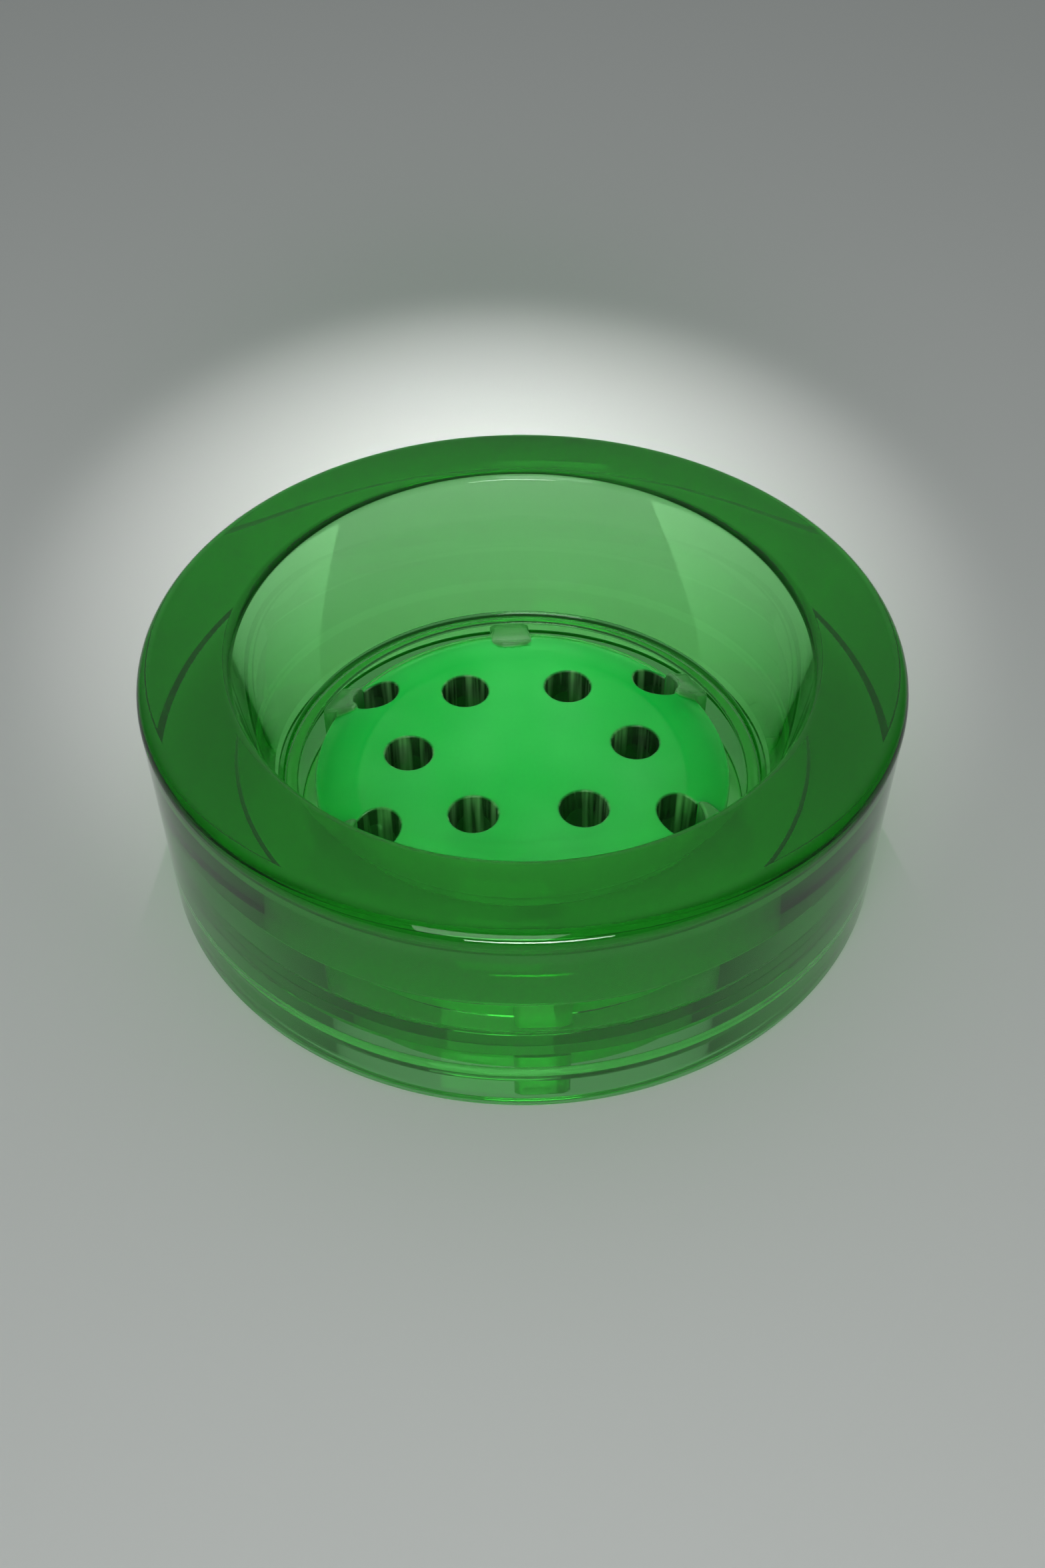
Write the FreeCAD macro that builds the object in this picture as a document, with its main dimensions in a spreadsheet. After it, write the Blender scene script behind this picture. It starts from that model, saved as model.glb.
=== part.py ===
import FreeCAD, Part
import math
import os

import Sketcher

# Thick green glass bowl with a perforated drop-in floor.
#
# The bowl is one heavy glass ring: a straight outer wall, a flat polished rim, a steep
# conical inner wall and, at its foot, a ledge, a narrow channel and a seat lip.
# The floor is a crowned glass disc with ten drain holes.  It stands on the seat lip and is
# centred by six glass tabs fused round its edge, so it lifts straight out.
#
# Frame: origin at the middle of the foot, +Z up along the bowl's axis, millimetres.
# The rows of holes run along X, and one tab points along +Y.

SIZES = {
    # bowl wall
    "bowl_radius": 42.0,
    "bowl_height": 27.6,
    "rim_corner_radius": 32.0,
    "rim_outer_rounding": 1.7,
    "rim_inner_rounding": 1.2,
    "foot_rounding": 0.9,
    "cone_foot_radius": 28.0,
    "cone_foot_rounding": 1.0,
    "ledge_height": 8.4,
    "ledge_rounding": 0.35,
    "channel_radius": 26.5,
    "seat_height": 3.2,
    "seat_hole_radius": 23.7,
    "foot_ring_radius": 33.0,
    "foot_recess": 1.2,
    # perforated floor
    "floor_radius": 24.5,
    "floor_top": 11.3,
    "floor_edge_top": 7.9,
    "crown_flat_radius": 16.8,
    "floor_foot_chamfer": 0.3,
    "drain_diameter": 5.5,
    "inner_row_x": 6.25,
    "inner_row_y": 10.35,
    "middle_row_x": 13.3,
    "outer_row_x": 17.2,
    "outer_row_y": 11.3,
    # tabs
    "tab_width": 5.0,
    "tab_long_tip": 18.3,
    "tab_long_top": 12.0,
    "tab_short_tip": 21.4,
    "tab_short_top": 11.0,
    "tab_end_radius": 26.3,
    "tab_end_top": 8.3,
    "tab_web_bottom": 3.6,
    "tab_corner_rounding": 1.6,
    "tab_edge_rounding": 0.4,
}

TAB_COUNT = 6
LONG_TABS = (1, 4)
FIRST_TAB_ANGLE = 30.0
ORIGIN_POINT = (-1, 1)


def new_document():
    doc = FreeCAD.newDocument("glass_bowl")
    sheet = doc.addObject("Spreadsheet::Sheet", "sizes")
    for row, (alias, value) in enumerate(SIZES.items(), start=1):
        sheet.set(f"A{row}", alias)
        sheet.set(f"B{row}", str(value))
        sheet.setAlias(f"B{row}", alias)
    doc.recompute()
    return doc


def new_body(doc, name):
    body = doc.addObject("PartDesign::Body", name)
    body.Label = name
    return body


def new_sketch(body, name, plane_role):
    sketch = body.newObject("Sketcher::SketchObject", name)
    plane = next(f for f in body.Origin.OriginFeatures if f.Role == plane_role)
    sketch.AttachmentSupport = [(plane, "")]
    sketch.MapMode = "FlatFace"
    return sketch


def bind(sketch, kind, geometry, point, expression):
    """Hold one point of a sketch at a distance from the origin, given by the sheet."""
    start = sketch.Geometry[geometry]
    positions = {1: "StartPoint", 2: "EndPoint", 3: "Center"}
    place = getattr(start, positions[point])
    value = place.x if kind == "DistanceX" else place.y
    index = sketch.addConstraint(Sketcher.Constraint(kind, *ORIGIN_POINT, geometry, point, value))
    sketch.setExpression(f"Constraints[{index}]", expression)


def bind_point(sketch, geometry, point, x_rule, y_rule):
    """Place one point by two expressions; the rule None pins it to that axis."""
    for kind, rule in (("DistanceX", x_rule), ("DistanceY", y_rule)):
        if rule is None:
            axis = -2 if kind == "DistanceX" else -1
            sketch.addConstraint(Sketcher.Constraint("PointOnObject", geometry, point, axis))
        else:
            bind(sketch, kind, geometry, point, rule)


def size(alias):
    return 0.0 if alias is None else SIZES[alias]


def rule(alias):
    return None if alias is None else f"sizes.{alias}"


def add_outline(sketch, corners):
    """A closed outline of straight edges through corners, each a pair of sheet aliases."""
    points = [FreeCAD.Vector(size(x), size(y), 0) for x, y in corners]
    for start, end in zip(points, points[1:] + points[:1]):
        sketch.addGeometry(Part.LineSegment(start, end))
    count = len(corners)
    for edge in range(count):
        sketch.addConstraint(Sketcher.Constraint("Coincident", edge, 2, (edge + 1) % count, 1))
    for edge, (x, y) in enumerate(corners):
        bind_point(sketch, edge, 1, rule(x), rule(y))


def revolve(body, sketch, name):
    turn = body.newObject("PartDesign::Revolution", name)
    turn.Profile = sketch
    turn.ReferenceAxis = (sketch, ["V_Axis"])
    turn.Angle = 360.0
    return turn


def ring_edges(shape, radius, height):
    """Names of the circular edges round the Z axis at this radius and height."""
    names = []
    for number, edge in enumerate(shape.Edges, start=1):
        curve = edge.Curve
        if not isinstance(curve, Part.Circle):
            continue
        on_axis = math.hypot(curve.Center.x, curve.Center.y) < 1e-6
        if on_axis and abs(curve.Radius - radius) < 1e-3 and abs(curve.Center.z - height) < 1e-3:
            names.append(f"Edge{number}")
    return names


def round_ring(doc, body, name, radius, height, rounding):
    """Round one circular edge of a body, the rounding bound to the sheet."""
    base = body.Tip
    edges = ring_edges(base.Shape, radius, height)
    fillet = body.newObject("PartDesign::Fillet", name)
    fillet.Base = (base, edges)
    fillet.setExpression("Radius", f"sizes.{rounding}")
    doc.recompute()


def make_bowl_wall(doc):
    body = new_body(doc, "bowl_wall")
    sketch = new_sketch(body, "wall_section", "XZ_Plane")
    add_outline(sketch, [
        ("seat_hole_radius", "foot_recess"),
        ("foot_ring_radius", "foot_recess"),
        ("foot_ring_radius", None),
        ("bowl_radius", None),
        ("bowl_radius", "bowl_height"),
        ("rim_corner_radius", "bowl_height"),
        ("cone_foot_radius", "ledge_height"),
        ("channel_radius", "ledge_height"),
        ("channel_radius", "seat_height"),
        ("seat_hole_radius", "seat_height"),
    ])
    revolve(body, sketch, "wall_turn")
    doc.recompute()
    top = SIZES["bowl_height"]
    ledge = SIZES["ledge_height"]
    round_ring(doc, body, "rim_outer", SIZES["bowl_radius"], top, "rim_outer_rounding")
    round_ring(doc, body, "rim_inner", SIZES["rim_corner_radius"], top, "rim_inner_rounding")
    round_ring(doc, body, "foot_outer", SIZES["bowl_radius"], 0.0, "foot_rounding")
    round_ring(doc, body, "cone_foot", SIZES["cone_foot_radius"], ledge, "cone_foot_rounding")
    round_ring(doc, body, "ledge_lip", SIZES["channel_radius"], ledge, "ledge_rounding")
    return body


def crown_radius():
    """Radius of the arc that leaves the flat top level and ends on the floor's edge."""
    run = SIZES["floor_radius"] - SIZES["crown_flat_radius"]
    drop = SIZES["floor_top"] - SIZES["floor_edge_top"]
    return (run * run + drop * drop) / (2 * drop)


def add_floor_section(sketch):
    """Half section of the floor: flat top, crowned shoulder, straight side, flat underside."""
    flat = SIZES["crown_flat_radius"]
    top = SIZES["floor_top"]
    seat = SIZES["seat_height"]
    edge = FreeCAD.Vector(SIZES["floor_radius"], SIZES["floor_edge_top"], 0)
    foot = FreeCAD.Vector(SIZES["floor_radius"], seat, 0)
    centre = FreeCAD.Vector(flat, top - crown_radius(), 0)
    circle = Part.Circle(centre, FreeCAD.Vector(0, 0, 1), crown_radius())
    start_angle = math.atan2(edge.y - centre.y, edge.x - centre.x)
    sketch.addGeometry(Part.LineSegment(FreeCAD.Vector(0, seat, 0), foot))
    sketch.addGeometry(Part.LineSegment(foot, edge))
    sketch.addGeometry(Part.ArcOfCircle(circle, start_angle, math.pi / 2))
    sketch.addGeometry(Part.LineSegment(FreeCAD.Vector(flat, top, 0), FreeCAD.Vector(0, top, 0)))
    sketch.addGeometry(Part.LineSegment(FreeCAD.Vector(0, top, 0), FreeCAD.Vector(0, seat, 0)))
    joins = ((0, 2, 1, 1), (1, 2, 2, 1), (2, 2, 3, 1), (3, 2, 4, 1), (4, 2, 0, 1))
    for join in joins:
        sketch.addConstraint(Sketcher.Constraint("Coincident", *join))
    bind_point(sketch, 0, 1, None, "sizes.seat_height")
    bind_point(sketch, 1, 1, "sizes.floor_radius", "sizes.seat_height")
    bind_point(sketch, 2, 1, "sizes.floor_radius", "sizes.floor_edge_top")
    bind_point(sketch, 3, 1, "sizes.crown_flat_radius", "sizes.floor_top")
    bind_point(sketch, 4, 1, None, "sizes.floor_top")
    bind(sketch, "DistanceX", 2, 3, "sizes.crown_flat_radius")


def make_floor_blank(doc, name):
    body = new_body(doc, name)
    sketch = new_sketch(body, f"{name}_section", "XZ_Plane")
    add_floor_section(sketch)
    revolve(body, sketch, f"{name}_turn")
    doc.recompute()
    return body


def drain_places():
    """Every hole as (sign x, alias x, sign y, alias y); the middle row lies on the X axis."""
    places = [(side, "middle_row_x", 0, None) for side in (-1, 1)]
    for row in (-1, 1):
        for side in (-1, 1):
            places.append((side, "inner_row_x", row, "inner_row_y"))
            places.append((side, "outer_row_x", row, "outer_row_y"))
    return places


def add_drain_circles(sketch):
    for side, alias_x, row, alias_y in drain_places():
        centre = FreeCAD.Vector(side * size(alias_x), row * size(alias_y), 0)
        index = sketch.addGeometry(Part.Circle(centre, FreeCAD.Vector(0, 0, 1), SIZES["drain_diameter"] / 2))
        diameter = Sketcher.Constraint("Diameter", index, SIZES["drain_diameter"])
        sketch.setExpression(f"Constraints[{sketch.addConstraint(diameter)}]", "sizes.drain_diameter")
        y_rule = f"{row} * sizes.{alias_y}" if alias_y else None
        bind_point(sketch, index, 3, f"{side} * sizes.{alias_x}", y_rule)


def make_perforated_floor(doc):
    body = make_floor_blank(doc, "perforated_floor")
    seat = SIZES["seat_height"]
    chamfer = body.newObject("PartDesign::Chamfer", "floor_foot")
    chamfer.Base = (body.Group[1], ring_edges(body.Group[1].Shape, SIZES["floor_radius"], seat))
    chamfer.setExpression("Size", "sizes.floor_foot_chamfer")
    doc.recompute()
    before = body.Shape.Volume
    sketch = new_sketch(body, "drain_layout", "XY_Plane")
    add_drain_circles(sketch)
    drains = body.newObject("PartDesign::Pocket", "drains")
    drains.Profile = sketch
    drains.Type = "ThroughAll"
    drains.Reversed = True
    doc.recompute()
    if before - body.Shape.Volume < 1.0:
        raise RuntimeError("the drain holes cut nothing")
    return body


def make_tab_clearance(doc):
    """The floor without its holes, joined with a cylinder for each hole: what a tab leaves free."""
    blank = make_floor_blank(doc, "tab_clearance_floor")
    parts = [blank]
    for number, (side, alias_x, row, alias_y) in enumerate(drain_places(), start=1):
        drill = doc.addObject("Part::Cylinder", f"tab_clearance_drill_{number}")
        drill.setExpression("Radius", "sizes.drain_diameter / 2")
        drill.setExpression("Height", "sizes.bowl_height")
        drill.setExpression("Placement.Base.x", f"{side} * sizes.{alias_x}")
        if alias_y:
            drill.setExpression("Placement.Base.y", f"{row} * sizes.{alias_y}")
        parts.append(drill)
    tool = doc.addObject("Part::MultiFuse", "tab_clearance")
    tool.Shapes = parts
    doc.recompute()
    return tool


def upright_tip_edges(shape, tip):
    """The two upright edges at the tab's inner end."""
    names = []
    for number, edge in enumerate(shape.Edges, start=1):
        box = edge.BoundBox
        if box.ZLength > 1.0 and box.XLength < 1e-6 and box.YLength < 1e-6 and abs(box.XMin - tip) < 1e-3:
            names.append(f"Edge{number}")
    return names


def top_edges(shape):
    """Edges round the sloping top face, without the one at the outer end."""
    face = max(shape.Faces, key=lambda f: f.normalAt(0, 0).z)
    outer = max(edge.CenterOfMass.x for edge in face.Edges)
    names = []
    for number, edge in enumerate(shape.Edges, start=1):
        on_top = any(edge.isSame(other) for other in face.Edges)
        if on_top and edge.CenterOfMass.x < outer - 1e-3:
            names.append(f"Edge{number}")
    return names


def make_tab_blank(doc, number, length):
    """A bar along +X whose top slopes down from its tip to the ledge."""
    tip = f"tab_{length}_tip"
    body = new_body(doc, f"tab_blank_{number}")
    sketch = new_sketch(body, f"tab_side_{number}", "XZ_Plane")
    add_outline(sketch, [
        (tip, "tab_web_bottom"),
        ("bowl_radius", "tab_web_bottom"),
        ("bowl_radius", "tab_end_top"),
        ("tab_end_radius", "tab_end_top"),
        (tip, f"tab_{length}_top"),
    ])
    pad = body.newObject("PartDesign::Pad", f"tab_pad_{number}")
    pad.Profile = sketch
    pad.Midplane = True
    pad.setExpression("Length", "sizes.tab_width")
    doc.recompute()
    corners = body.newObject("PartDesign::Fillet", f"tab_corners_{number}")
    corners.Base = (pad, upright_tip_edges(pad.Shape, SIZES[tip]))
    corners.setExpression("Radius", "sizes.tab_corner_rounding")
    doc.recompute()
    rounding = body.newObject("PartDesign::Fillet", f"tab_rounding_{number}")
    rounding.Base = (corners, top_edges(corners.Shape))
    rounding.setExpression("Radius", "sizes.tab_edge_rounding")
    doc.recompute()
    return body


def make_tab(doc, number, clearance):
    blank = make_tab_blank(doc, number + 1, "long" if number in LONG_TABS else "short")
    angle = FIRST_TAB_ANGLE + number * 360.0 / TAB_COUNT
    blank.Placement = FreeCAD.Placement(
        FreeCAD.Vector(0, 0, 0), FreeCAD.Rotation(FreeCAD.Vector(0, 0, 1), angle))
    reach = doc.addObject("Part::Cylinder", f"tab_reach_{number + 1}")
    reach.setExpression("Radius", "sizes.tab_end_radius")
    reach.setExpression("Height", "sizes.bowl_height")
    trimmed = doc.addObject("Part::Common", f"tab_trimmed_{number + 1}")
    trimmed.Base = blank
    trimmed.Tool = reach
    tab = doc.addObject("Part::Cut", f"floor_tab_{number + 1}")
    tab.Base = trimmed
    tab.Tool = clearance
    tab.Label = f"floor_tab_{number + 1}"
    doc.recompute()
    return tab


def check(doc, pieces):
    for item in doc.Objects:
        if "Invalid" in item.State or "Error" in item.State:
            raise RuntimeError(f"{item.Label} failed: {item.State}")
    for piece in pieces:
        shape = piece.Shape
        if shape.isNull() or not shape.isValid():
            raise RuntimeError(f"{piece.Label} has no valid shape")
        print(f"{piece.Label:18s} solids {len(shape.Solids)} volume {shape.Volume:9.1f} mm3")


def main():
    doc = new_document()
    wall = make_bowl_wall(doc)
    floor = make_perforated_floor(doc)
    clearance = make_tab_clearance(doc)
    tabs = [make_tab(doc, number, clearance) for number in range(TAB_COUNT)]
    pieces = [wall, floor] + tabs
    check(doc, pieces)
    os.makedirs("parts", exist_ok=True)
    for piece in pieces:
        piece.Shape.exportStep(f"parts/{piece.Label}.step")


main()
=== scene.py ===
import math

import bpy
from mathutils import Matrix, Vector
from mathutils.geometry import delaunay_2d_cdt


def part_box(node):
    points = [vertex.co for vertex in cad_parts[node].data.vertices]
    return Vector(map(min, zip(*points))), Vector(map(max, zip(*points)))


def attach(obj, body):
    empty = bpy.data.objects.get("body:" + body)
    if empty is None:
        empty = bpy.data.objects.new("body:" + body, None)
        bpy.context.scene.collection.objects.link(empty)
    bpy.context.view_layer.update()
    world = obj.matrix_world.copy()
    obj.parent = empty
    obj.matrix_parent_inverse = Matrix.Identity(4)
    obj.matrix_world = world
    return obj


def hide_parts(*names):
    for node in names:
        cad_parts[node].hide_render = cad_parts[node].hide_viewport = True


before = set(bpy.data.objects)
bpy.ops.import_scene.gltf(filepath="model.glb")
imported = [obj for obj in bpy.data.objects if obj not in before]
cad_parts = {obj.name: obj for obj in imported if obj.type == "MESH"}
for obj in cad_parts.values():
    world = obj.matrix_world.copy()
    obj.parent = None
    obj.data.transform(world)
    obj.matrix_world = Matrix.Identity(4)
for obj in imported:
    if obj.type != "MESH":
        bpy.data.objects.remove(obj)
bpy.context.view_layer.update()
MM = 0.001

# Bowl wall, in millimetres.  Height and outer radius come from the frame.
WALL_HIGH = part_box("bowl_wall")[1]
BOWL_RADIUS = WALL_HIGH.x / MM
BOWL_HEIGHT = WALL_HIGH.z / MM
RIM_CORNER_RADIUS = 32.0
CONE_FOOT_RADIUS = 28.0
LEDGE_HEIGHT = 8.4
CHANNEL_RADIUS = 26.5
SEAT_HEIGHT = 3.2
SEAT_HOLE_RADIUS = 23.7
FOOT_RING_RADIUS = 33.0
FOOT_RECESS = 1.2
TURN_STEPS = 288
ARC_STEP_DEGREES = 9.0

# Perforated floor and its tabs, in millimetres.
FLOOR_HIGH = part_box("perforated_floor")[1]
FLOOR_RADIUS = FLOOR_HIGH.x / MM
FLOOR_TOP = FLOOR_HIGH.z / MM
FLOOR_EDGE_TOP = 7.9
FLOOR_LIFT = 0.05
CROWN_FLAT_RADIUS = 16.8
DRAIN_RADIUS = 2.75
DRAINS = [(side * x, row * y) for side in (-1, 1) for row, x, y in (
    (0, 13.3, 0.0), (-1, 6.25, 10.35), (1, 6.25, 10.35), (-1, 17.2, 11.3), (1, 17.2, 11.3))]
TAB_WIDTH = 5.0
TAB_CORNER = 1.6
TAB_EDGE = 0.7
TAB_END_RADIUS = 26.3
TAB_END_TOP = 8.3
TAB_WEB_BOTTOM = 3.6
TAB_ANGLES = [30.0 + 60.0 * number for number in range(6)]
# Radius and height of a tab's inner tip.
LONG_TIP = (18.3, 12.0)
SHORT_TIP = (21.4, 11.0)
LONG_TABS = (1, 4)
EDGE_ROUNDING = 0.3
# A surface higher than this above the crown starts to be tab glass, and is all tab after the blend.
TAB_LIFT = 0.05
TAB_BLEND = 0.25
TAB_ZONE = "tab_zone"
# Where the holes' walls and rounded edges get painted shade.
PAINTED_BORE_SHADE_ZONE = "painted_bore_shade_zone"

# How finely the floor's plan is divided; lengths in millimetres.
TAB_END_STEPS = 6
RIM_STEPS = 44
HOLE_STEPS = 48
HOLE_GUARD = 0.15
EDGE_STEPS = 4
CORNER_STEPS = 8
SMALLEST_CORNER = 0.05
SIDE_POINTS = 40
SIDE_START = 0.6
SIDE_STEP = 0.4
TAB_EDGE_SHARES = (0.0, 0.08, 0.3, 0.6, 1.0)
GRID_START = 0.8
GRID_MARGIN = 0.1
GRID_FLAT = 1.0
GRID_SHOULDER = 0.5
GRID_STRETCH = 1.2
GRID_FEWEST = 6
HOLE_TOLERANCE = 0.98
MERGE_DISTANCE = 1e-5

# Glass.
GLASS_IOR = 1.5
WAVE_DEPTH = 0.0004
WAVE_SCALE = 45.0
POLISH_SCALE = 160.0
CLOUD_SCALE = 70.0
# Size and upright stretch of the painted highlight streaks on the hole walls.
HIGHLIGHT_STREAK_SCALE = 900.0
HIGHLIGHT_STREAK_SQUASH = 0.05
WALL_COLOR = (0.14, 0.78, 0.18, 1)
WALL_DENSITY = 110.0
WALL_SHADOW_TINT = (0.42, 0.78, 0.44, 1)
FLOOR_SHADOW_TINT = (0.10, 0.45, 0.12, 1)
FLOOR_GREEN = (0.007, 0.55, 0.058, 1)
FLOOR_CLOUD = (0.042, 0.62, 0.104, 1)
TAB_GREEN = (0.26, 0.56, 0.27, 1)
# Painted shade for the hole walls and their rounded edges, and the lighter colour of the painted highlight
# streaks across it.
BORE_PAINTED_SHADE = (0.020, 0.045, 0.020, 1)
BORE_PAINTED_HIGHLIGHT = (0.22, 0.42, 0.20, 1)
FLOOR_CLEARNESS = 0.18
TAB_CLEARNESS = 0.60
# Most of a noise texture's values lie between these two.
NOISE_LOW = 0.3
NOISE_HIGH = 0.7
# Sockets of the Mix node that carry colours.
MIX_FIRST, MIX_SECOND, MIX_RESULT = 6, 7, 2

# Stage and camera.  The camera's aim height and distance are in outer radii of the bowl.
STAGE_HALF_WIDTH = 1.2
STAGE_DROP = 0.0001
CAMERA_AZIMUTH = -3.95
CAMERA_ELEVATION = 45.37
CAMERA_LENS = 35.35
CAMERA_SENSOR = 36.0
CAMERA_NEAREST = 0.01
CAMERA_AIM_HEIGHT = 0.1228
CAMERA_DISTANCE = 4.4
MOST_BOUNCES = 32
MOST_GLOSSY_BOUNCES = 16


# ---------------------------------------------------------------- outlines

def rounded_outline(corners):
    """Points and outward normals of a closed outline (radius, height, rounding), anticlockwise."""
    points, normals = [], []
    count = len(corners)
    for index, (x, z, rounding) in enumerate(corners):
        here = Vector((x, z))
        before = Vector(corners[index - 1][:2]) - here
        after = Vector(corners[(index + 1) % count][:2]) - here
        before.normalize()
        after.normalize()
        half = before.angle(after) / 2
        reach = rounding / math.tan(half)
        start = here + before * reach
        bisector = (before + after).normalized()
        centre = here + bisector * (rounding / math.sin(half))
        turn = math.pi - 2 * half
        convex = before.x * after.y - before.y * after.x < 0
        side = 1.0 if convex else -1.0
        spoke = (start - centre).normalized()
        steps = max(2, round(math.degrees(turn) / ARC_STEP_DEGREES))
        for step in range(steps + 1):
            angle = side * turn * step / steps
            ray = Vector((spoke.x * math.cos(angle) - spoke.y * math.sin(angle),
                          spoke.x * math.sin(angle) + spoke.y * math.cos(angle)))
            points.append(centre + ray * rounding)
            normals.append(ray * side)
    return points, normals


def mesh_object(name, vertices, faces, normals=None):
    mesh = bpy.data.meshes.new(name)
    mesh.from_pydata([[c * MM for c in v] for v in vertices], [], faces)
    mesh.validate()
    mesh.update()
    mesh.polygons.foreach_set("use_smooth", [True] * len(mesh.polygons))
    if normals is not None:
        mesh.normals_split_custom_set_from_vertices(normals)
    piece = bpy.data.objects.new(name, mesh)
    bpy.context.scene.collection.objects.link(piece)
    return piece


def turned(name, outline, outline_normals):
    """Turn a closed outline about the Z axis into one closed ring."""
    vertices, normals, faces = [], [], []
    rows = len(outline)
    for turn in range(TURN_STEPS):
        angle = 2 * math.pi * turn / TURN_STEPS
        cos, sin = math.cos(angle), math.sin(angle)
        vertices += [(p.x * cos, p.x * sin, p.y) for p in outline]
        normals += [(n.x * cos, n.x * sin, n.y) for n in outline_normals]
    for turn in range(TURN_STEPS):
        here, there = turn * rows, (turn + 1) % TURN_STEPS * rows
        for row in range(rows):
            up = (row + 1) % rows
            faces.append((here + row, there + row, there + up, here + up))
    return mesh_object(name, vertices, faces, normals)


def make_bowl_glass():
    # Each corner is radius, height, rounding.
    points, normals = rounded_outline([
        (SEAT_HOLE_RADIUS, FOOT_RECESS, 0.3),
        (FOOT_RING_RADIUS, FOOT_RECESS, 0.4),
        (FOOT_RING_RADIUS, 0.0, 0.4),
        (BOWL_RADIUS, 0.0, 0.9),
        (BOWL_RADIUS, BOWL_HEIGHT, 1.7),
        (RIM_CORNER_RADIUS, BOWL_HEIGHT, 1.2),
        (CONE_FOOT_RADIUS, LEDGE_HEIGHT, 1.0),
        (CHANNEL_RADIUS, LEDGE_HEIGHT, 0.35),
        (CHANNEL_RADIUS, SEAT_HEIGHT, 0.4),
        (SEAT_HOLE_RADIUS, SEAT_HEIGHT, 0.2),
    ])
    piece = turned("bowl_glass", points, normals)
    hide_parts("bowl_wall")
    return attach(piece, "bowl")


# ---------------------------------------------------------------- floor disc with its tabs

def crown(radius):
    """Height of the disc's top: flat in the middle, an arc over the shoulder."""
    run = FLOOR_RADIUS - CROWN_FLAT_RADIUS
    drop = FLOOR_TOP - FLOOR_EDGE_TOP
    arc = (run * run + drop * drop) / (2 * drop)
    out = min(max(radius - CROWN_FLAT_RADIUS, 0.0), run)
    return FLOOR_TOP - arc + math.sqrt(arc * arc - out * out)


def tab_tip(number):
    return LONG_TIP if number in LONG_TABS else SHORT_TIP


def tab_depth(along, across, tip):
    """How far a point lies inside a tab's plan outline; negative outside."""
    x = tip + TAB_CORNER - along
    y = abs(across) - TAB_WIDTH / 2 + TAB_CORNER
    outside = math.hypot(max(x, 0.0), max(y, 0.0))
    return TAB_CORNER - outside - min(max(x, y), 0.0)


def top_height(x, y):
    radius = math.hypot(x, y)
    height = crown(radius)
    for number, angle in enumerate(TAB_ANGLES):
        cos, sin = math.cos(math.radians(angle)), math.sin(math.radians(angle))
        along, across = x * cos + y * sin, y * cos - x * sin
        tip, tip_top = tab_tip(number)
        depth = tab_depth(along, across, tip)
        if depth <= 0.0:
            continue
        slope = (along - tip) / (TAB_END_RADIUS - tip)
        tab_top = tip_top + (TAB_END_TOP - tip_top) * slope
        rise = math.sqrt(1.0 - (1.0 - min(depth / TAB_EDGE, 1.0)) ** 2)
        height = max(height, height + (tab_top - height) * rise)
    return height


def inside_plan(x, y, inset):
    """True inside the disc or a tab, seen from above."""
    radius = math.hypot(x, y)
    if radius <= FLOOR_RADIUS - inset:
        return True
    if radius > TAB_END_RADIUS - inset:
        return False
    turn = (math.degrees(math.atan2(y, x)) + 60.0) % 60.0 - 30.0
    return abs(radius * math.sin(math.radians(turn))) <= TAB_WIDTH / 2 - inset


def plan_outline(inset):
    """The disc's rim with its six tabs, pulled in by inset, anticlockwise."""
    points = []
    half = TAB_WIDTH / 2 - inset
    rim, end = FLOOR_RADIUS - inset, TAB_END_RADIUS - inset
    for angle in TAB_ANGLES:
        side, tip = math.asin(half / rim), math.asin(half / end)
        middle = math.radians(angle)
        gap = math.radians(60.0) - 2 * side
        turns = [(end, middle + tip * k / TAB_END_STEPS) for k in range(-TAB_END_STEPS, TAB_END_STEPS + 1)]
        turns += [(rim, middle + side + gap * k / RIM_STEPS) for k in range(RIM_STEPS + 1)]
        points += [(radius * math.cos(turn), radius * math.sin(turn)) for radius, turn in turns]
    return points


def tab_outline(number, depth):
    """A tab's plan outline at one depth inside it, from its outer end round the tip and back."""
    tip = tab_tip(number)[0]
    corner = max(TAB_CORNER - depth, SMALLEST_CORNER)
    half = TAB_WIDTH / 2 - depth
    near = tip + depth
    runs = [TAB_END_RADIUS - SIDE_START - k * SIDE_STEP for k in range(SIDE_POINTS)]
    side = [(x, -half) for x in runs if x > near + corner]
    tip_points = []
    for centre_side, start in ((-1, 270), (1, 180)):
        for k in range(CORNER_STEPS + 1):
            a = math.radians(start - 90 * k / CORNER_STEPS)
            tip_points.append((near + corner + corner * math.cos(a),
                               centre_side * (half - corner) + corner * math.sin(a)))
    local = side + tip_points + [(x, -y) for x, y in reversed(side)]
    angle = math.radians(TAB_ANGLES[number])
    cos, sin = math.cos(angle), math.sin(angle)
    return [(x * cos - y * sin, x * sin + y * cos) for x, y in local]


def ring(cx, cy, radius, steps):
    turns = [2 * math.pi * k / steps for k in range(steps)]
    return [(cx + radius * math.cos(turn), cy + radius * math.sin(turn)) for turn in turns]


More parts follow.
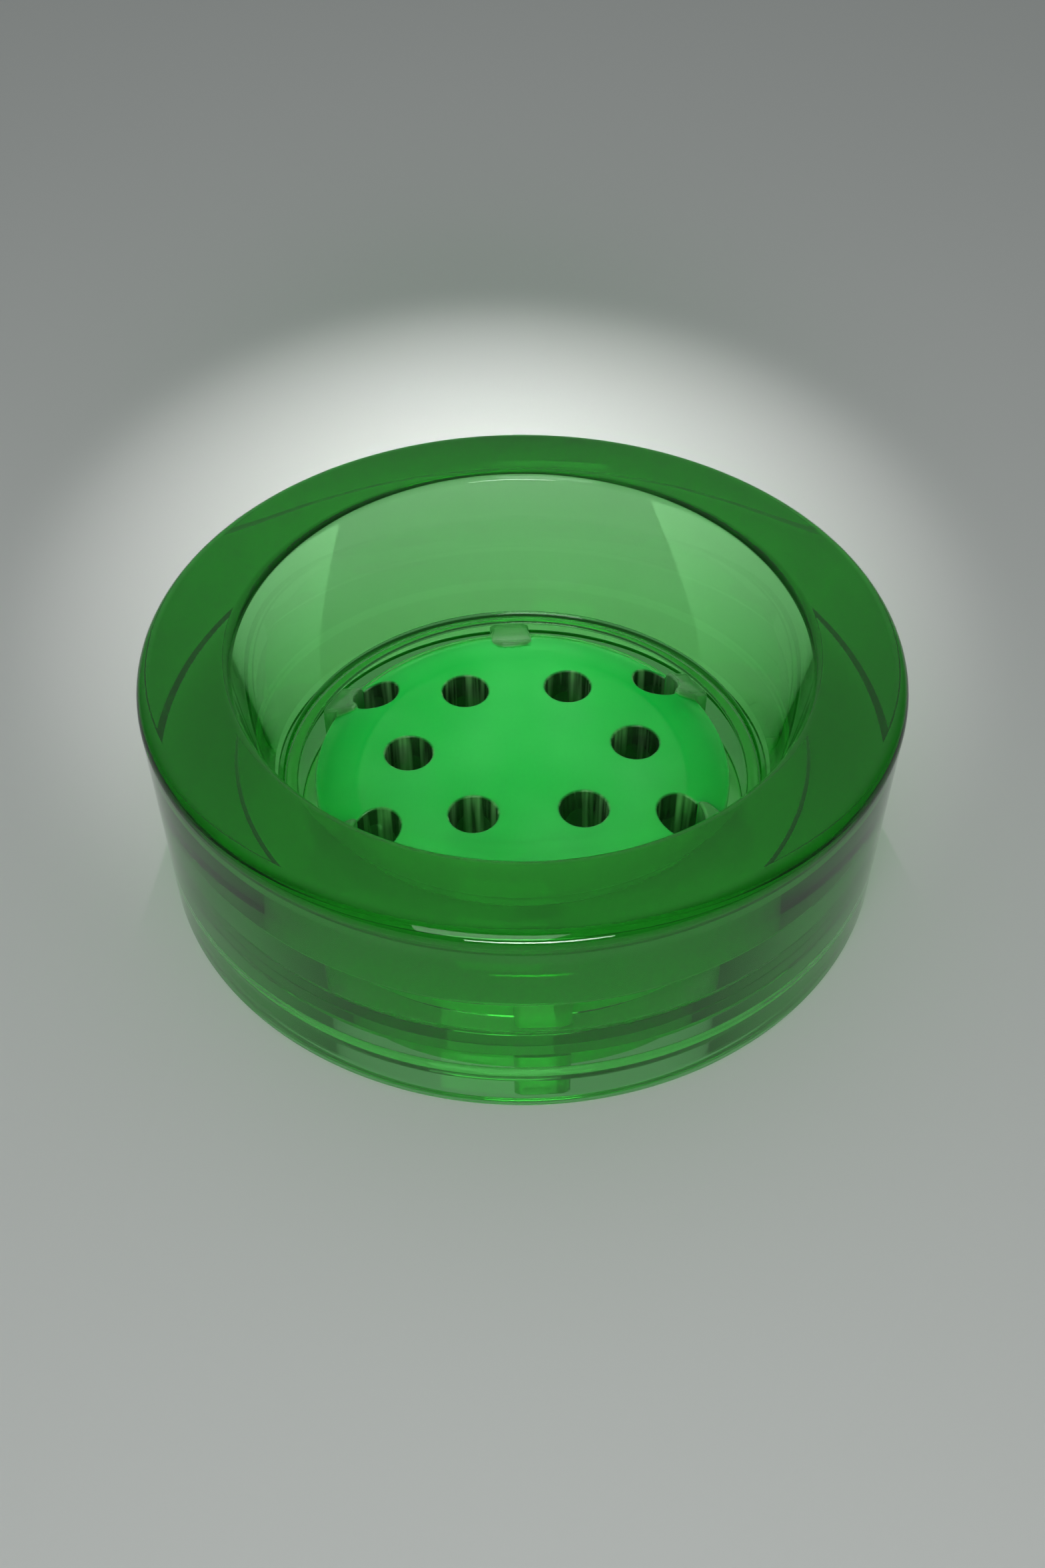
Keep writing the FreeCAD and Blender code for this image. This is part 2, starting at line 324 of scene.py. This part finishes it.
def plan_triangles():
    """Triangulate the floor's plan, with its tabs and without its holes."""
    points, edges = [], []

    def add(loop, closed):
        start = len(points)
        points.extend(Vector(p) for p in loop)
        last = len(loop) if closed else len(loop) - 1
        edges.extend((start + k, start + (k + 1) % len(loop)) for k in range(last))

    add(plan_outline(EDGE_ROUNDING), True)
    for x, y in DRAINS:
        add(ring(x, y, DRAIN_RADIUS + EDGE_ROUNDING, HOLE_STEPS), True)
        add(ring(x, y, DRAIN_RADIUS + EDGE_ROUNDING + HOLE_GUARD, HOLE_STEPS), True)
    for number in range(len(TAB_ANGLES)):
        for share in TAB_EDGE_SHARES:
            add(tab_outline(number, share * TAB_EDGE), False)
    radius = GRID_START
    while radius < FLOOR_RADIUS - EDGE_ROUNDING - GRID_MARGIN:
        spacing = GRID_FLAT if radius < CROWN_FLAT_RADIUS else GRID_SHOULDER
        steps = max(GRID_FEWEST, round(2 * math.pi * radius / (spacing * GRID_STRETCH)))
        points.extend(Vector(p) for p in ring(0, 0, radius, steps))
        radius += spacing
    vertices, _, triangles = delaunay_2d_cdt(points, edges, [], 0, MERGE_DISTANCE)[:3]

    def kept(face):
        x = sum(vertices[i].x for i in face) / 3
        y = sum(vertices[i].y for i in face) / 3
        nearest = min(math.hypot(x - cx, y - cy) for cx, cy in DRAINS)
        clear = nearest > DRAIN_RADIUS + EDGE_ROUNDING * HOLE_TOLERANCE
        return clear and inside_plan(x, y, EDGE_ROUNDING)

    return vertices, [tuple(face) for face in triangles if kept(face)]


def underside(point):
    """Height of the flat bottom: the disc stands on the seat, the tabs stay clear of it."""
    return SEAT_HEIGHT + FLOOR_LIFT if point.length <= FLOOR_RADIUS else TAB_WEB_BOTTOM


def boundary_edges(triangles):
    """Directed edges that only one triangle uses."""
    directed = {(face[k], face[(k + 1) % 3]) for face in triangles for k in range(3)}
    return [edge for edge in directed if (edge[1], edge[0]) not in directed]


def outward(point_index, neighbours, vertices):
    """Unit vector out of the material, in plan, at one boundary vertex."""
    before, after = neighbours[point_index]
    run = vertices[after] - vertices[before]
    return Vector((run.y, -run.x)).normalized()


def mark_zone(piece, name, share):
    """Store at each point how far it belongs to a zone, from 0 to 1."""
    marks = piece.data.attributes.new(name, "FLOAT", "POINT")
    marks.data.foreach_set("value", [share(*(vertex.co / MM)) for vertex in piece.data.vertices])


def tab_share(x, y, z):
    lift = z - crown(math.hypot(x, y))
    return min(max((lift - TAB_LIFT) / TAB_BLEND, 0.0), 1.0)


# How much painted shade a point gets: none outside a hole's rounded edge, all of it on the hole wall, none
# on the tabs.
def painted_bore_shade_share(x, y, z):
    if tab_share(x, y, z) > 0:
        return 0.0
    nearest = min(math.hypot(x - cx, y - cy) for cx, cy in DRAINS)
    return min(max((DRAIN_RADIUS + EDGE_ROUNDING - nearest) / EDGE_ROUNDING, 0.0), 1.0)


def make_floor_glass():
    plan, triangles = plan_triangles()
    used = sorted({index for face in triangles for index in face})
    renumber = {old: new for new, old in enumerate(used)}
    flat = [plan[index] for index in used]
    triangles = [tuple(renumber[index] for index in face) for face in triangles]
    vertices = [(p.x, p.y, top_height(p.x, p.y)) for p in flat]
    below = len(vertices)
    vertices += [(p.x, p.y, underside(p)) for p in flat]
    faces = list(triangles) + [tuple(index + below for index in reversed(face)) for face in triangles]
    edges = boundary_edges(triangles)
    neighbours = {}
    for start, end in edges:
        neighbours.setdefault(start, [None, None])[1] = end
        neighbours.setdefault(end, [None, None])[0] = start
    columns = {}
    for index in neighbours:
        out = outward(index, neighbours, flat)
        point = flat[index]
        column = [index]
        for lower in (False, True):
            for step in range(0 if lower else 1, EDGE_STEPS + (0 if lower else 1)):
                share = step / EDGE_STEPS * math.pi / 2
                if lower:
                    share = math.pi / 2 - share
                reach = EDGE_ROUNDING * math.sin(share)
                sink = EDGE_ROUNDING * (1 - math.cos(share))
                place = point + out * reach
                height = underside(point) + sink if lower else vertices[index][2] - sink
                column.append(len(vertices))
                vertices.append((place.x, place.y, height))
        column.append(index + below)
        columns[index] = column
    for start, end in edges:
        left, right = columns[start], columns[end]
        for row in range(len(left) - 1):
            faces.append((right[row], left[row], left[row + 1], right[row + 1]))
    piece = mesh_object("floor_glass", vertices, faces)
    mark_zone(piece, TAB_ZONE, tab_share)
    # Mark where the holes get painted shade.
    mark_zone(piece, PAINTED_BORE_SHADE_ZONE, painted_bore_shade_share)
    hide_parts("perforated_floor", *[f"floor_tab_{n + 1}" for n in range(len(TAB_ANGLES))])
    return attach(piece, "floor")


# ---------------------------------------------------------------- materials

def noise(tree, coords, scale, detail):
    texture = tree.nodes.new("ShaderNodeTexNoise")
    texture.inputs["Scale"].default_value = scale
    texture.inputs["Detail"].default_value = detail
    tree.links.new(coords.outputs["Object"], texture.inputs["Vector"])
    return texture


def spread(tree, source, low, high):
    """Map a texture's 0 to 1 onto low to high."""
    node = tree.nodes.new("ShaderNodeMapRange")
    node.inputs["From Min"].default_value = NOISE_LOW
    node.inputs["From Max"].default_value = NOISE_HIGH
    node.inputs["To Min"].default_value = low
    node.inputs["To Max"].default_value = high
    tree.links.new(source, node.inputs["Value"])
    return node.outputs["Result"]


def lets_light_through(tree, glass, tint):
    """Lamps shine through the glass, tinted, instead of stopping at it."""
    clear = tree.nodes.new("ShaderNodeBsdfTransparent")
    clear.inputs["Color"].default_value = tint
    rays = tree.nodes.new("ShaderNodeLightPath")
    mix = tree.nodes.new("ShaderNodeMixShader")
    out = tree.nodes.new("ShaderNodeOutputMaterial")
    tree.links.new(rays.outputs["Is Shadow Ray"], mix.inputs[0])
    tree.links.new(glass.outputs[0], mix.inputs[1])
    tree.links.new(clear.outputs[0], mix.inputs[2])
    tree.links.new(mix.outputs[0], out.inputs["Surface"])
    return out


def new_glass(name, wave, polish):
    """A glass shader with the slow surface waves and faint polish marks of worked glass."""
    material = bpy.data.materials.new(name)
    material.use_nodes = True
    tree = material.node_tree
    tree.nodes.clear()
    coords = tree.nodes.new("ShaderNodeTexCoord")
    glass = tree.nodes.new("ShaderNodeBsdfPrincipled")
    glass.inputs["IOR"].default_value = GLASS_IOR
    bump = tree.nodes.new("ShaderNodeBump")
    bump.inputs["Strength"].default_value = wave
    bump.inputs["Distance"].default_value = WAVE_DEPTH
    tree.links.new(noise(tree, coords, WAVE_SCALE, 1.0).outputs["Fac"], bump.inputs["Height"])
    tree.links.new(bump.outputs["Normal"], glass.inputs["Normal"])
    marks = noise(tree, coords, POLISH_SCALE, 3.0)
    tree.links.new(spread(tree, marks.outputs["Fac"], 0.0, polish), glass.inputs["Roughness"])
    return material, tree, coords, glass


def wall_glass():
    """Clear green glass, coloured all the way through."""
    material, tree, _, glass = new_glass("wall_glass", 0.006, 0.012)
    glass.inputs["Base Color"].default_value = (1, 1, 1, 1)
    glass.inputs["Transmission Weight"].default_value = 1.0
    out = lets_light_through(tree, glass, WALL_SHADOW_TINT)
    volume = tree.nodes.new("ShaderNodeVolumeAbsorption")
    volume.inputs["Color"].default_value = WALL_COLOR
    volume.inputs["Density"].default_value = WALL_DENSITY
    tree.links.new(volume.outputs[0], out.inputs["Volume"])
    return material


def mixed_color(tree, factor, first, second):
    mix = tree.nodes.new("ShaderNodeMix")
    mix.data_type = "RGBA"
    for socket, value in ((MIX_FIRST, first), (MIX_SECOND, second)):
        if isinstance(value, tuple):
            mix.inputs[socket].default_value = value
        else:
            tree.links.new(value, mix.inputs[socket])
    tree.links.new(factor, mix.inputs[0])
    return mix.outputs[MIX_RESULT]


def zone(tree, name):
    attribute = tree.nodes.new("ShaderNodeAttribute")
    attribute.attribute_name = name
    return attribute.outputs["Fac"]


def painted_bore_shade_and_highlights(tree, coords):
    """Painted shade on the walls of the drilled holes, broken by upright painted highlight streaks."""
    squash = tree.nodes.new("ShaderNodeMapping")
    squash.inputs["Scale"].default_value = (1.0, 1.0, HIGHLIGHT_STREAK_SQUASH)
    streaks = tree.nodes.new("ShaderNodeTexNoise")
    streaks.inputs["Scale"].default_value = HIGHLIGHT_STREAK_SCALE
    streaks.inputs["Detail"].default_value = 2.0
    tree.links.new(coords.outputs["Object"], squash.inputs["Vector"])
    tree.links.new(squash.outputs["Vector"], streaks.inputs["Vector"])
    share = spread(tree, streaks.outputs["Fac"], -0.6, 1.0)
    return mixed_color(tree, share, BORE_PAINTED_SHADE, BORE_PAINTED_HIGHLIGHT)


def floor_glass():
    """Dense, nearly opal green glass with soft paler clouds; the tabs are clearer and greyer; the holes
    carry painted shade with painted highlight streaks.
    """
    material, tree, coords, glass = new_glass("floor_glass", 0.03, 0.16)
    clouds = spread(tree, noise(tree, coords, CLOUD_SCALE, 1.5).outputs["Fac"], 0.0, 1.0)
    vivid = mixed_color(tree, clouds, FLOOR_GREEN, FLOOR_CLOUD)
    with_tabs = mixed_color(tree, zone(tree, TAB_ZONE), vivid, TAB_GREEN)
    # The holes' walls and rounded edges take painted shade with painted highlight streaks.
    color = mixed_color(tree, zone(tree, PAINTED_BORE_SHADE_ZONE), with_tabs, painted_bore_shade_and_highlights(tree, coords))
    tree.links.new(color, glass.inputs["Base Color"])
    clearness = tree.nodes.new("ShaderNodeMapRange")
    clearness.inputs["To Min"].default_value = FLOOR_CLEARNESS
    clearness.inputs["To Max"].default_value = TAB_CLEARNESS
    tree.links.new(zone(tree, TAB_ZONE), clearness.inputs["Value"])
    tree.links.new(clearness.outputs["Result"], glass.inputs["Transmission Weight"])
    lets_light_through(tree, glass, FLOOR_SHADOW_TINT)
    return material


def plain(name, color, roughness):
    material = bpy.data.materials.new(name)
    material.use_nodes = True
    shader = material.node_tree.nodes["Principled BSDF"]
    shader.inputs["Base Color"].default_value = color
    shader.inputs["Roughness"].default_value = roughness
    return material


# ---------------------------------------------------------------- stage

def make_stage():
    half = STAGE_HALF_WIDTH
    mesh = bpy.data.meshes.new("studio_floor")
    corners = [(-half, -half, 0), (half, -half, 0), (half, half, 0), (-half, half, 0)]
    mesh.from_pydata(corners, [], [(0, 1, 2, 3)])
    floor = bpy.data.objects.new("studio_floor", mesh)
    bpy.context.scene.collection.objects.link(floor)
    floor.location.z = -STAGE_DROP
    floor.data.materials.append(plain("studio_paper", (0.78, 0.78, 0.76, 1), 0.9))


def area_light(name, place, aim, size, power, color=(1, 1, 1)):
    data = bpy.data.lights.new(name, "AREA")
    data.shape = "RECTANGLE"
    data.size, data.size_y = size
    data.energy = power
    data.color = color
    lamp = bpy.data.objects.new(name, data)
    lamp.location = place
    lamp.rotation_euler = (Vector(aim) - Vector(place)).to_track_quat("-Z", "Y").to_euler()
    bpy.context.scene.collection.objects.link(lamp)
    return lamp


def make_lights():
    """A dim sky with one broad soft panel behind and above, two soft boxes and two beams."""
    world = bpy.data.worlds.new("studio")
    bpy.context.scene.world = world
    world.use_nodes = True
    nodes, links = world.node_tree.nodes, world.node_tree.links
    coords = nodes.new("ShaderNodeTexCoord")
    toward = nodes.new("ShaderNodeVectorMath")
    toward.operation = "DOT_PRODUCT"
    toward.inputs[1].default_value = (0.0, 0.707, 0.707)
    sky = nodes.new("ShaderNodeValToRGB")
    sky.color_ramp.elements[0].color = (0.11, 0.12, 0.12, 1)
    sky.color_ramp.elements[1].color = (0.33, 0.35, 0.35, 1)
    sky.color_ramp.elements[0].position = 0.50
    sky.color_ramp.elements[1].position = 0.85
    links.new(coords.outputs["Generated"], toward.inputs[0])
    links.new(toward.outputs["Value"], sky.inputs["Fac"])
    links.new(sky.outputs["Color"], nodes["Background"].inputs["Color"])
    nodes["Background"].inputs["Strength"].default_value = 1.0
    area_light("key", (-0.10, -0.40, 0.40), (0, 0, 0), (0.30, 0.30), 0.68, (0.93, 1.0, 0.98))
    low = area_light("front_low", (0.0, -0.32, 0.10), (0, 0, 0.010), (0.20, 0.04), 0.055)
    low.data.spread = math.radians(60)
    beam("floor_beam", (-0.03, -0.03, 0.60), (0, 0, 0.01), 0.02, 6.5, 0.0015)
    beam("back_beam", (0.0, 0.25, 0.35), (0, 0.056, 0), 0.010, 20.0, 0.0200)


def beam(name, place, aim, size, degrees, power):
    """A lamp with a limited spread that lights one patch and shows in no glass."""
    lamp = area_light(name, place, aim, (size, size), power)
    lamp.data.spread = math.radians(degrees)
    lamp.visible_glossy = False
    lamp.visible_transmission = False


def make_camera():
    azimuth, elevation = math.radians(CAMERA_AZIMUTH), math.radians(CAMERA_ELEVATION)
    radius = BOWL_RADIUS * MM
    target = Vector((0, 0, CAMERA_AIM_HEIGHT * radius))
    back = Vector((math.sin(azimuth) * math.cos(elevation), -math.cos(azimuth) * math.cos(elevation),
                   math.sin(elevation)))
    data = bpy.data.cameras.new("camera")
    data.sensor_width = CAMERA_SENSOR
    data.lens = CAMERA_LENS
    data.clip_start = CAMERA_NEAREST
    camera = bpy.data.objects.new("camera", data)
    camera.location = target + back * (CAMERA_DISTANCE * radius)
    camera.rotation_euler = back.to_track_quat("Z", "Y").to_euler()
    bpy.context.scene.collection.objects.link(camera)
    bpy.context.scene.camera = camera


def main():
    make_camera()
    bowl = make_bowl_glass()
    floor = make_floor_glass()
    bowl.data.materials.append(wall_glass())
    floor.data.materials.append(floor_glass())
    make_stage()
    make_lights()
    scene = bpy.context.scene
    scene.view_settings.view_transform = "Standard"
    scene.cycles.max_bounces = MOST_BOUNCES
    scene.cycles.transmission_bounces = MOST_BOUNCES
    scene.cycles.glossy_bounces = MOST_GLOSSY_BOUNCES


main()
